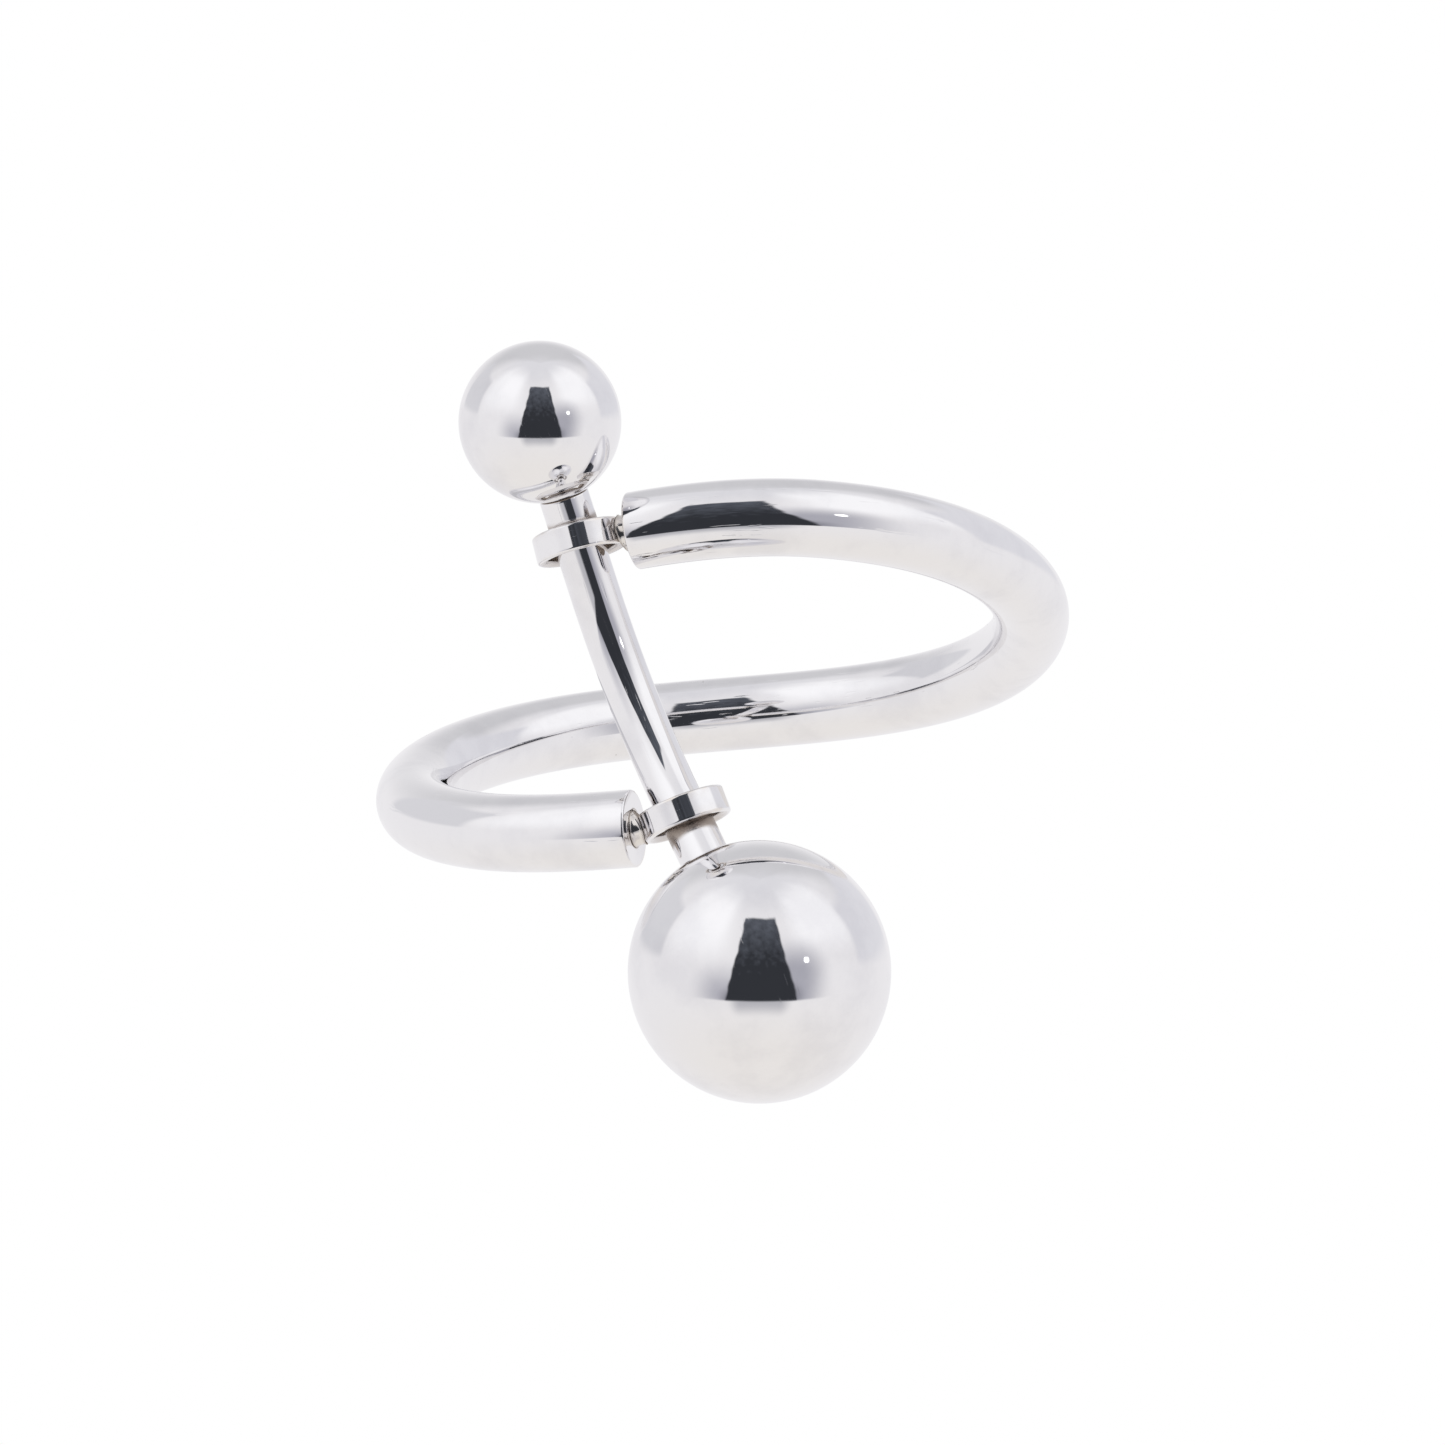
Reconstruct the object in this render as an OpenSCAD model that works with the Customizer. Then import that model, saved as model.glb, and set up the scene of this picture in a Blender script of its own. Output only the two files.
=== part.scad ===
// Spiral finger ring that holds a bent, ball-ended bar captive.
//
// A round wire makes one left-handed turn around the finger and stops at the front, one cut end above the
// other. Each end carries an eyelet on a short soldered peg. A slim bent bar runs loosely through both
// eyelets. Its large ball is fixed and its small ball screws on, so the bar cannot fall out.
//
// Frame: the origin is the centre of the finger hole, midway between the two wire ends. +Z is the axis of
// the finger hole, -Y is the front with the bar, and the wire climbs from the lower end to the upper end.

/* [Band] */
// Inner diameter of the finger hole
finger_d = 17.4; // [16.4:0.1:18.4]
// Diameter of the round wire
wire_d = 2.4; // [2.2:0.05:2.6]
// Height that the wire climbs in one turn
rise = 9.73; // [9.6:0.01:9.9]
// How far the wire swings above and below an even climb
wave_h = 0.62; // [0.5:0.01:0.7]
// Angle past the front at which that swing starts
wave_shift = 6.2; // [4:0.1:8]
// How far the upper wire end is pressed down towards the eyelet
upper_nip = 0.45; // [0.3:0.01:0.5]
// How far the lower wire end is pressed up towards the eyelet
lower_nip = 0.17; // [0.1:0.01:0.3]

/* [Eyelets] */
// Outer diameter of an eyelet
eyelet_d = 2.8; // [2.7:0.05:2.9]
// Diameter of the bore that the bar slides in
eyelet_bore = 2.15; // [2.12:0.01:2.2]
// Height of an eyelet
eyelet_h = 0.85; // [0.7:0.05:0.9]
// Radius of the rounding at each mouth of the bore
mouth_r = 0.16; // [0.14:0.01:0.2]
// Chamfer on the outer edges
eyelet_edge = 0.06; // [0.04:0.01:0.1]
// Diameter of the soldered peg between a wire end and its eyelet
post_d = 1.1; // [0.9:0.05:1.2]
// Depth of the peg's blind hole in the wire end
post_depth = 1.5; // [1:0.1:2]

/* [Bar] */
// Diameter of the bar
bar_d = 1.55; // [1.4:0.01:1.55]
// Radius of the bend, measured to the middle of the bar
bend_r = 9.7; // [9.6:0.05:9.9]
// Angle that the bend turns above the middle of the bar
bend_up = 21; // [20.5:0.1:21.3]
// Angle that the bend turns below the middle of the bar
bend_down = 20.5; // [20:0.1:20.8]
// Sideways lean of the bar, with its top to the left
bar_lean = 19.7; // [19.3:0.1:20.1]
// Turn of the bend's plane about the bar, from straight ahead towards the right
bar_turn = 24.5; // [24:0.1:25]
// Distance along the bar from its middle to the centre of the small ball
small_reach = 9.14; // [9.1:0.01:9.5]
// Distance along the bar from its middle to the centre of the large ball
large_reach = 10.14; // [9.9:0.01:10.3]

/* [Balls] */
// Diameter of the screwed-on ball
small_ball_d = 5; // [4.6:0.1:5.2]
// Diameter of the fixed ball
large_ball_d = 8; // [7.6:0.1:8.2]
// Diameter of the turned-down ends of the bar
thread_d = 1.2; // [1:0.05:1.2]
// Length of the turned-down ends of the bar
thread_l = 3; // [2:0.1:3.4]

/* [Hidden] */
$fn = 96;

steel = "gainsboro";
eps = 0.01;               // overshoot of a cutting tool past a face
solder_gap = 0.01;        // radial gap of a joint that solder fills
screw_gap = 0.04;         // radial gap between the bar's thread and the small ball
seat_gap = 0.02;          // gap between the bar's shoulder and its seat in a ball
spot_gap = 0.05;          // radial gap around the bar in a ball's seat
thread_bore_extra = 0.3;  // free depth past the end of the thread
seam_lap = 0.1;           // how far a straight end of the bar reaches over the end of the bend
seam_step = 0.005;        // how much thicker, in radius, the unbent ends of the bar are than its bend

ring_r = (finger_d + wire_d) / 2;   // radius of the wire's centre line around the finger
upper_phi = 1.2;                    // angle of the upper wire end past the front
lower_phi = 359.2;                  // angle of the lower wire end, one turn further on
nip_span = 35;                      // stretch of the band, in degrees, that each nip bends
rings = 90;                         // cross-sections along the band
sides = 28;                         // corners of each cross-section

// Places of the eyelets along the bar, as distances from its middle. The upper one sits a little further back.
upper_seat = 5.21;
lower_seat = -4.11;
upper_slack = [0, 0.04, 0];

// The eyelets lean with the bar: sideways with the top to the left, and backwards with the top to the rear.
upper_tilt = [12.5, 1.5];
lower_tilt = [19.3, 0.5];

// Middle of the bar: left of centre, just inside the band's centre line, and below the middle.
bar_mid = [-0.277, 0.95 - ring_r, -0.569];

// ---- Band centre line ----

// Height of the wire's centre line at an angle past the front, before it is centred between the ends.
function climb(phi) =
    rise / 2 * (180 - phi) / 180
    + wave_h * sin(2 * (phi - wave_shift))
    - upper_nip * pow(max(0, 1 - phi / nip_span), 2)
    + lower_nip * pow(max(0, 1 - (360 - phi) / nip_span), 2);

centre_z = (climb(upper_phi) + climb(lower_phi)) / 2;

// Point on the wire's centre line. The angle grows from the front to the right, the back and the left.
function band_point(phi) = [ring_r * sin(phi), -ring_r * cos(phi), climb(phi) - centre_z];

function unit(v) = v / norm(v);

// Angle past the front of a cross-section, counted from the upper end.
function ring_phi(i) = upper_phi + i * (lower_phi - upper_phi) / (rings - 1);

// Direction of the wire at an angle, towards the lower end.
function band_direction(phi) = unit(band_point(phi + eps) - band_point(phi - eps));

// Corners of the cross-section at an angle, counted from the outward side of the band.
function section(phi) =
    let (t = band_direction(phi),
         across = unit(cross(t, [sin(phi), -cos(phi), 0])),
         outward = cross(across, t))
    [for (k = [0 : sides - 1])
        band_point(phi) + wire_d / 2 * (cos(k * 360 / sides) * outward + sin(k * 360 / sides) * across)];

// ---- Bar centre line ----

// Point of the bar in its own frame: z along the middle, bent towards -y, straight past each end of the bend.
function bent_point(s) =
    let (a = max(-bend_down, min(bend_up, s / bend_r * 180 / PI)),
         straight = s - a * PI / 180 * bend_r)
    [0, -bend_r * (1 - cos(a)) - straight * sin(a), bend_r * sin(a) + straight * cos(a)];

// The same point in the ring's frame.
function bar_point(s) =
    let (p = bent_point(s), x = -p.y * sin(bar_turn), y = p.y * cos(bar_turn))
    bar_mid + [x * cos(bar_lean) - p.z * sin(bar_lean), y, x * sin(bar_lean) + p.z * cos(bar_lean)];

upper_centre = bar_point(upper_seat) + upper_slack;
lower_centre = bar_point(lower_seat);

// ---- Helpers ----

// Moves children, drawn about the z axis, to a point and turns their z axis along a direction.
module aim(point, direction) {
    flat = norm([direction.x, direction.y]);
    translate(point)
        rotate([0, atan2(flat, direction.z), atan2(direction.y, direction.x)])
            children();
}

// The round wire, swept along the band's centre line as one closed surface with flat ends.
module swept_wire() {
    corners = [for (i = [0 : rings - 1]) each section(ring_phi(i))];
    walls = [for (i = [0 : rings - 2], k = [0 : sides - 1])
        let (a = i * sides + k, b = i * sides + (k + 1) % sides)
        each [[a, b, b + sides], [a, b + sides, a + sides]]];
    first = [for (k = [sides - 1 : -1 : 0]) k];
    last = [for (k = [0 : sides - 1]) (rings - 1) * sides + k];
    polyhedron(points = corners, faces = concat(walls, [first, last]));
}

// Puts children in an eyelet's own frame: origin at its centre, z along its bore.
module at_eyelet(centre, tilt) {
    translate(centre) rotate([0, -tilt[0], 0]) rotate([-tilt[1], 0, 0]) children();
}

// A peg or its hole, from inside the wire end to the middle of the eyelet.
module peg(end, centre, d, depth) {
    direction = unit(centre - end);
    aim(end - depth * direction, direction) cylinder(h = depth + norm(centre - end), d = d, $fn = 48);
}

// A soldered peg: the far end is cut to fit the eyelet's outer wall.
module post(end, centre, tilt) {
    difference() {
        peg(end, centre, post_d, post_depth);
        at_eyelet(centre, tilt) cylinder(h = 2 * eyelet_d, d = eyelet_d + 2 * solder_gap, center = true);
    }
}

// A small turned ring: a bore with rounded mouths, and chamfered outer edges.
module eyelet() {
    difference() {
        union() {
            cylinder(h = eyelet_h - 2 * eyelet_edge, d = eyelet_d, center = true);
            for (m = [0, 1])
                mirror([0, 0, m])
                    translate([0, 0, eyelet_h / 2 - eyelet_edge])
                        cylinder(h = eyelet_edge, d1 = eyelet_d, d2 = eyelet_d - 2 * eyelet_edge);
        }
        cylinder(h = eyelet_h + 2 * eps, d = eyelet_bore, center = true);
        for (m = [0, 1])
            mirror([0, 0, m])
                mouth_cut();
    }
}

// The stock that a rounded mouth takes off the corner of the bore.
module mouth_cut() {
    rotate_extrude()
        difference() {
            translate([eyelet_bore / 2 - mouth_r, eyelet_h / 2 - mouth_r])
                square([2 * mouth_r, mouth_r + eps]);
            translate([eyelet_bore / 2 + mouth_r, eyelet_h / 2 - mouth_r])
                circle(r = mouth_r, $fn = 48);
        }
}

// Puts children in the bar's frame: origin at its middle, z along it, bend centre towards -y.
module at_bar() {
    translate(bar_mid) rotate([0, -bar_lean, 0]) rotate([0, 0, bar_turn]) children();
}

// Moves children from the bar's middle to one end of its bend, with z outwards along the straight end.
// The angle is positive for the upper end and negative for the lower one.
module at_bend_end(angle) {
    translate([0, -bend_r, 0])
        rotate([angle, 0, 0])
            translate([0, bend_r, 0])
                mirror([0, 0, angle < 0 ? 1 : 0])
                    children();
}

// Distance from a ball's centre to the flat seat that the bar's shoulder meets.
function seat_height(ball_d) = sqrt(pow(ball_d / 2, 2) - pow(bar_d / 2 + spot_gap, 2));

// Straight stretch of the bar between its bend and the shoulder at a ball.
function straight_length(reach, angle, ball_d) =
    reach - abs(angle) * PI / 180 * bend_r - seat_height(ball_d) - seat_gap;

// One straight end of the bar, with its turned-down tip.
module bar_end(reach, angle, ball_d) {
    straight = straight_length(reach, angle, ball_d);
    at_bend_end(angle) {
        translate([0, 0, -seam_lap]) cylinder(h = straight + seam_lap, d = bar_d + 2 * seam_step);
        cylinder(h = straight + thread_l, d = thread_d);
    }
}

// A ball with its seat and blind threaded bore, in the frame of the bar.
module ball(reach, angle, ball_d, gap) {
    at_bend_end(angle)
        translate([0, 0, reach - abs(angle) * PI / 180 * bend_r])
            difference() {
                sphere(d = ball_d, $fn = 128);
                translate([0, 0, -ball_d])
                    cylinder(h = ball_d - seat_height(ball_d), d = bar_d + 2 * spot_gap);
                translate([0, 0, -seat_height(ball_d) - eps])
                    cylinder(h = thread_l + thread_bore_extra, d = thread_d + 2 * gap, $fn = 48);
            }
}

// ---- Pieces ----

// Round wire, one turn, with a blind hole for a peg in each cut end.
module spiral_band() {
    color(steel)
        difference() {
            swept_wire();
            peg(band_point(upper_phi), upper_centre, post_d + 2 * solder_gap, post_depth + solder_gap);
            peg(band_point(lower_phi), lower_centre, post_d + 2 * solder_gap, post_depth + solder_gap);
        }
}

module upper_post() {
    color(steel) post(band_point(upper_phi), upper_centre, upper_tilt);
}

module lower_post() {
    color(steel) post(band_point(lower_phi), lower_centre, lower_tilt);
}

module upper_eyelet() {
    color(steel) at_eyelet(upper_centre, upper_tilt) eyelet();
}

module lower_eyelet() {
    color(steel) at_eyelet(lower_centre, lower_tilt) eyelet();
}

// Slim round bar: a bend with a straight, turned-down end each way.
module bar() {
    color(steel)
        at_bar() {
            translate([0, -bend_r, 0])
                rotate([0, 90, 0])
                    rotate([0, 0, 90 - bend_down])
                        rotate_extrude(angle = bend_up + bend_down)
                            translate([bend_r, 0])
                                circle(d = bar_d);
            bar_end(small_reach, bend_up, small_ball_d);
            bar_end(large_reach, -bend_down, large_ball_d);
        }
}

module small_ball() {
    color(steel) at_bar() ball(small_reach, bend_up, small_ball_d, screw_gap);
}

module large_ball() {
    color(steel) at_bar() ball(large_reach, -bend_down, large_ball_d, solder_gap);
}

spiral_band();
upper_post();
lower_post();
upper_eyelet();
lower_eyelet();
bar();
small_ball();
large_ball();
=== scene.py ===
"""Looks of a spiral finger ring that holds a bent, ball-ended bar captive.

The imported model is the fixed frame. Each metal piece is drawn again as a smooth, closed surface with the
same sizes, so that polished metal mirrors the studio without facets, and rides on its own body.
"""

import logging
import math
from dataclasses import dataclass
from enum import Enum
from typing import Any

import bmesh
import bpy
from mathutils import Matrix, Vector


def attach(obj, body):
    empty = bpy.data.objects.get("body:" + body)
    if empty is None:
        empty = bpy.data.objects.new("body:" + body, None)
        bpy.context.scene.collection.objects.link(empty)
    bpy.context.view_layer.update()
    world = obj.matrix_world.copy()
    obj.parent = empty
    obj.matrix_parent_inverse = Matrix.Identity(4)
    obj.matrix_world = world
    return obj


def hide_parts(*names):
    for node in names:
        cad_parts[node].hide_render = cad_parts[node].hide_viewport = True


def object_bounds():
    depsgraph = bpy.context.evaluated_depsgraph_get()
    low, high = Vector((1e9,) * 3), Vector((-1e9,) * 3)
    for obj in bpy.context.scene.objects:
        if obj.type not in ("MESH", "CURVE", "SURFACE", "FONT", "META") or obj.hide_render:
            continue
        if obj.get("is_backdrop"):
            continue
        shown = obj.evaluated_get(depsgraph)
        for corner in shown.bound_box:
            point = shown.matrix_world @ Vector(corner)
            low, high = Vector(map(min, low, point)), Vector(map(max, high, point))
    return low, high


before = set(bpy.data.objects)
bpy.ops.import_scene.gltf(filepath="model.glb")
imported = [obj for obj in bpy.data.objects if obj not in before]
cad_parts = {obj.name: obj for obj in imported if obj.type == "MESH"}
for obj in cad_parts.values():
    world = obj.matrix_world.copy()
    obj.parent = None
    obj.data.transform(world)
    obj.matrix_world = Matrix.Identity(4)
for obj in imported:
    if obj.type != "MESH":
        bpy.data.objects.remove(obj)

Tree = bpy.types.NodeTree
Socket = bpy.types.NodeSocket
Pair = tuple[float, float]

MM = 0.001
UM = 0.001 * MM
# Settings of a soft ramp, and of a mix of two colours with the output that carries it.
SMOOTH = {"interpolation_type": "SMOOTHSTEP"}
COLOUR = {"out": 2, "data_type": "RGBA"}
# Corners round a turned piece, enough for a smooth outline.
TURNED_SIDES = 144
# Rows of a peg inside the wire, from its tip to the wire's face: share of its radius and of its depth.
PEG_MARKS = ((0.9, 1.0), (0.97, 1.0), (1.0, 0.98), (1.0, 0.5), (1.0, 0.06))
# The same for the blind hole round it.
HOLE_MARKS = ((0.9, 1.01), (1.0, 1.01), (1.0, 0.99), (1.0, 0.5), (1.0, 0.1))
log = logging.getLogger("ring")


class Body(Enum):
    """The parts of the ring that move on their own."""

    RING = "ring"
    BAR = "bar"
    SMALL_BALL = "small_ball"


class End(Enum):
    """The two ends of the band or the bar."""

    UPPER = 1
    LOWER = -1


def linear(hex_colour: str) -> tuple[float, float, float, float]:
    """Turn a colour into what the shaders read.

    Args:
        hex_colour: sRGB colour as six hex digits.

    Returns:
        The linear red, green, blue and alpha.
    """
    parts = [int(hex_colour[i : i + 2], 16) / 255 for i in (0, 2, 4)]
    red, green, blue = (c / 12.92 if c <= 0.04045 else ((c + 0.055) / 1.055) ** 2.4 for c in parts)
    return red, green, blue, 1.0


def add_node(
    tree: Tree, kind: str, inputs: dict[Any, Any], out: int | str = 0, **settings: Any
) -> Socket | None:
    """Add a shader node, set it up and link it.

    Args:
        tree: node tree that gets the node.
        kind: Blender's name of the node type, without its ShaderNode.
        inputs: for each input, by name or place, the socket linked to it or its fixed value.
        out: name or place of the output that is wanted.
        **settings: properties of the node itself.

    Returns:
        The wanted output, or None for a node that ends the tree.
    """
    node = tree.nodes.new(f"ShaderNode{kind}")
    for key, value in settings.items():
        setattr(node, key, value)
    for key, value in inputs.items():
        if isinstance(value, Socket):
            tree.links.new(value, node.inputs[key])
        else:
            node.inputs[key].default_value = value
    return node.outputs[out] if node.outputs else None


def empty_tree(owner: bpy.types.Material | bpy.types.World) -> Tree:
    """Give a material or world an empty node tree.

    Args:
        owner: the material or world.

    Returns:
        Its node tree.
    """
    owner.use_nodes = True
    owner.node_tree.nodes.clear()
    return owner.node_tree


# ---- Surfaces ----


@dataclass(frozen=True)
class Wear:
    """How a place on a piece is handled and polished, and where shade is painted on it.

    Attributes:
        rim: 1 on an edge that rubs, 0 elsewhere.
        hollow: 1 in a hollow that the wheel misses, where its paste stays and where shade is painted in
            the paste's darker colour, 0 elsewhere.
    """

    rim: float = 0.0
    hollow: float = 0.0


PLAIN = Wear()
EDGE = Wear(rim=1.0)
SOFT_EDGE = Wear(rim=0.3)
# HOLLOW and MOUTH paint the paste's darker colour into bores, corners and joins between parts: part paste,
# part painted shade.
HOLLOW = Wear(hollow=1.0)
MOUTH = Wear(rim=0.3, hollow=0.4)

# Radius and height of a corner of a turned piece, in metres, and how it wears.
Corner = tuple[float, float, Wear]


@dataclass
class Row:
    """One closed ring of corners across a piece.

    Attributes:
        points: corners in order round the piece, in metres.
        along: distance of the row along the piece, in metres.
        wear: how the row wears.
    """

    points: list[Vector]
    along: float
    wear: Wear = PLAIN


def circle_row(
    centre: Vector,
    across: Vector,
    side: Vector,
    radius: float,
    along: float,
    sides: int,
    wear: Wear = PLAIN,
) -> Row:
    """Place one round row.

    Args:
        centre: middle of the row.
        across: direction of its first corner.
        side: direction of the corner a quarter turn on.
        radius: radius of the row, in metres.
        along: distance along the piece, in metres.
        sides: number of corners.
        wear: how the row wears.

    Returns:
        The row.
    """
    turns = [k * math.tau / sides for k in range(sides)]
    points = [centre + radius * (math.cos(t) * across + math.sin(t) * side) for t in turns]
    return Row(points, along, wear)


def lathe_rows(profile: list[Corner], place: Matrix, sides: int) -> list[Row]:
    """Turn a profile about the z axis of a place.

    Args:
        profile: corners in order.
        place: matrix of the axis.
        sides: number of corners round the axis.

    Returns:
        One row for each corner of the profile.
    """
    origin = place.to_translation()
    x, y, z = (place.col[i].to_3d() for i in range(3))
    rows = []
    along = 0.0
    last = profile[0]
    for corner in profile:
        radius, height, wear = corner
        along += math.hypot(radius - last[0], height - last[1])
        rows.append(circle_row(origin + height * z, x, y, radius, along, sides, wear))
        last = corner
    return rows


def arc(
    centre: Pair, radius: float, start: float, end: float, steps: int, wear: Wear = PLAIN
) -> list[Corner]:
    """Walk along a round part of a profile.

    Args:
        centre: radius and height of the arc's own centre.
        radius: radius of the arc.
        start: first angle in degrees, from the outward direction towards the top.
        end: last angle in degrees.
        steps: number of straight steps.
        wear: how the corners wear.

    Returns:
        The corners of that part.
    """
    angles = [math.radians(start + (end - start) * i / steps) for i in range(steps + 1)]
    return [(centre[0] + radius * math.cos(a), centre[1] + radius * math.sin(a), wear) for a in angles]


def skin(
    name: str, rows: list[Row], lay_radius: float, closed: bool, tips: tuple[Vector, ...] = ()
) -> bpy.types.Object:
    """Join rows into one smooth, closed surface.

    Each corner stores where it lies on the piece, so that a finish can follow the way it was polished.

    Args:
        name: name of the new object.
        rows: rows in order along the piece, all with the same number of corners.
        lay_radius: radius at which the polish lines are spaced, in metres.
        closed: True where the last row meets the first.
        tips: the two end points of a surface that isn't closed.

    Returns:
        The new object, linked to the scene.
    """
    sides = len(rows[0].points)
    corners = [p for row in rows for p in row.points]
    along = [row.along for row in rows for _ in row.points]
    wears = [row.wear for row in rows for _ in row.points]
    count = len(rows)
    faces: list[tuple[int, ...]] = []
    for i in range(count if closed else count - 1):
        a, b = i * sides, (i + 1) % count * sides
        faces += [(a + k, a + (k + 1) % sides, b + (k + 1) % sides, b + k) for k in range(sides)]
    turns = [k % sides * math.tau / sides for k in range(len(corners))]
    lay = [(s, lay_radius * math.cos(t), lay_radius * math.sin(t)) for s, t in zip(along, turns)]
    for tip, first, step in zip(tips, (0, (count - 1) * sides), (1, -1)):
        middle = len(corners)
        corners.append(tip)
        lay.append((along[first], 0.0, 0.0))
        wears.append(wears[first])
        faces += [(middle, first + (k + 1) % sides, first + k)[::step] for k in range(sides)]
    mesh = bpy.data.meshes.new(name)
    mesh.from_pydata(corners, [], faces)
    stored = mesh.attributes.new("lay", "FLOAT_VECTOR", "POINT")
    stored.data.foreach_set("vector", [c for v in lay for c in v])
    for mark in ("rim", "hollow"):
        stored = mesh.attributes.new(mark, "FLOAT", "POINT")
        stored.data.foreach_set("value", [getattr(wear, mark) for wear in wears])
    work = bmesh.new()
    work.from_mesh(mesh)
    bmesh.ops.recalc_face_normals(work, faces=work.faces)
    work.to_mesh(mesh)
    work.free()
    mesh.polygons.foreach_set("use_smooth", [True] * len(mesh.polygons))
    piece = bpy.data.objects.new(name, mesh)
    bpy.context.scene.collection.objects.link(piece)
    return piece


# ---- Finishes ----


@dataclass(frozen=True)
class PlatedFinish:
    """Silver, buffed to a mirror and rhodium plated: a cool white mirror with faint traces of the wheel.

    The wheel's real lines lie about 0.01 mm apart, too fine to show, so hairlines are drawn coarser.

    Attributes:
        name: name of the material.
        slot: the record's material slot; not used.
        tint: colour of the clean plate.
        cloudy_tint: colour where handling has dulled the plate a little.
        worn_tint: colour on rubbed edges, where the silver starts to show through.
        pit_tint: colour in pits and specks of dust.
        paste_and_shade_tint: colour of polishing paste and tarnish left in hollows, which also serves as
            painted shade in bores, corners and between parts.
        roughness: roughness of the clean mirror.
        dulling: roughness added by clouds, hairlines, rubbed edges, pits and the paste with its painted
            shade.
        cloud_mm: size of the dulled clouds.
        cloud_levels: levels of the noise at which a cloud begins and is whole.
        hair_mm: length and spacing of the hairlines left by the wheel.
        hair_levels: levels of the noise at which a hairline begins and is deepest.
        hair_um: depth of a hairline.
        swell_mm: distance between the soft waves that hand polishing leaves.
        swell_um: height of those waves.
        pit_mm: spacing and width of the pits.
        pit_um: depth of a pit.
        sound: share of the plate that has no pits.
    """

    name: str
    slot: str
    tint: str = "F1F0F1"
    cloudy_tint: str = "E9E8EA"
    worn_tint: str = "EBE4DC"
    pit_tint: str = "8F8780"
    paste_and_shade_tint: str = "A3968A"
    roughness: float = 0.035
    dulling: tuple[float, ...] = (0.03, 0.1, 0.06, 0.3, 0.35)
    cloud_mm: float = 2.5
    cloud_levels: Pair = (0.42, 0.68)
    hair_mm: Pair = (3.0, 0.07)
    hair_levels: Pair = (0.64, 0.76)
    hair_um: float = 0.25
    swell_mm: float = 1.1
    swell_um: float = 1.2
    pit_mm: Pair = (1.5, 0.035)
    pit_um: float = 4.0
    sound: float = 0.55

    def make(self) -> bpy.types.Material:
        """Build the material.

        Returns:
            The new material.
        """
        material = bpy.data.materials.new(self.name)
        tree = empty_tree(material)
        place = add_node(tree, "TexCoord", {}, "Object")
        lay = add_node(tree, "Attribute", {}, "Vector", attribute_name="lay")
        rim = add_node(tree, "Attribute", {}, "Fac", attribute_name="rim")
        hollow = add_node(tree, "Attribute", {}, "Fac", attribute_name="hollow")
        # Clouds lie where fingers leave them, hairlines along the way the piece was held to the wheel.
        clouds = (self.cloud_mm, self.cloud_mm, self.cloud_mm)
        cloud = self.marks(tree, place, clouds, self.cloud_levels, Detail=4.0, Roughness=0.6)
        hairs = (self.hair_mm[0], self.hair_mm[1], self.hair_mm[1])
        hair = self.marks(tree, lay, hairs, self.hair_levels, Detail=2.0, Distortion=0.2)
        pit = self.pits(tree, place)
        worn = add_node(tree, "Math", {0: rim, 1: cloud}, operation="MULTIPLY")
        colour: Any = linear(self.tint)
        # The last of these tints is paste in the hollows and painted shade there at once.
        tints = (self.cloudy_tint, self.worn_tint, self.pit_tint, self.paste_and_shade_tint)
        for amount, tint in zip((cloud, worn, pit, hollow), tints):
            colour = add_node(tree, "Mix", {0: amount, 6: colour, 7: linear(tint)}, **COLOUR)
        rough: Any = self.roughness
        for amount, added in zip((cloud, hair, rim, pit, hollow), self.dulling):
            rough = add_node(tree, "Math", {0: amount, 1: added, 2: rough}, operation="MULTIPLY_ADD")
        bump = self.relief(tree, place, hair, pit)
        metal = {"Base Color": colour, "Metallic": 1.0, "Roughness": rough, "Normal": bump}
        shader = add_node(tree, "BsdfPrincipled", metal)
        add_node(tree, "OutputMaterial", {"Surface": shader})
        return material

    def marks(
        self, tree: Tree, where: Socket, size_mm: tuple[float, ...], levels: Pair, **grain: float
    ) -> Socket:
        """Spread soft marks where a noise is high.

        Args:
            tree: the material's nodes.
            where: place on the piece.
            size_mm: size of the marks along each axis.
            levels: levels of the noise at which a mark begins and is whole.
            **grain: further settings of the noise.

        Returns:
            0 between marks to 1 on one.
        """
        scale = tuple(1 / (size * MM) for size in size_mm)
        stretched = add_node(tree, "Mapping", {"Vector": where, "Scale": scale})
        noise = add_node(tree, "TexNoise", {"Vector": stretched, "Scale": 1.0, **grain})
        ramp = {"Value": noise, "From Min": levels[0], "From Max": levels[1]}
        return add_node(tree, "MapRange", ramp, **SMOOTH)

    def pits(self, tree: Tree, place: Socket) -> Socket:
        """Scatter pinhole pits and specks of dust, one in some of the cells.

        Args:
            tree: the material's nodes.
            place: point on the piece.

        Returns:
            0 on sound plate to 1 in a pit.
        """
        spacing, width = self.pit_mm
        cells = {"Vector": place, "Scale": 1 / (spacing * MM)}
        distance = add_node(tree, "TexVoronoi", cells, "Distance")
        ramp = {"Value": distance, "From Min": width / spacing, "From Max": 0.4 * width / spacing}
        near = add_node(tree, "MapRange", ramp, **SMOOTH)
        draw = {0: distance.node.outputs["Color"], 1: self.sound}
        chosen = add_node(tree, "Math", draw, operation="GREATER_THAN")
        return add_node(tree, "Math", {0: near, 1: chosen}, operation="MULTIPLY")

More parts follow.
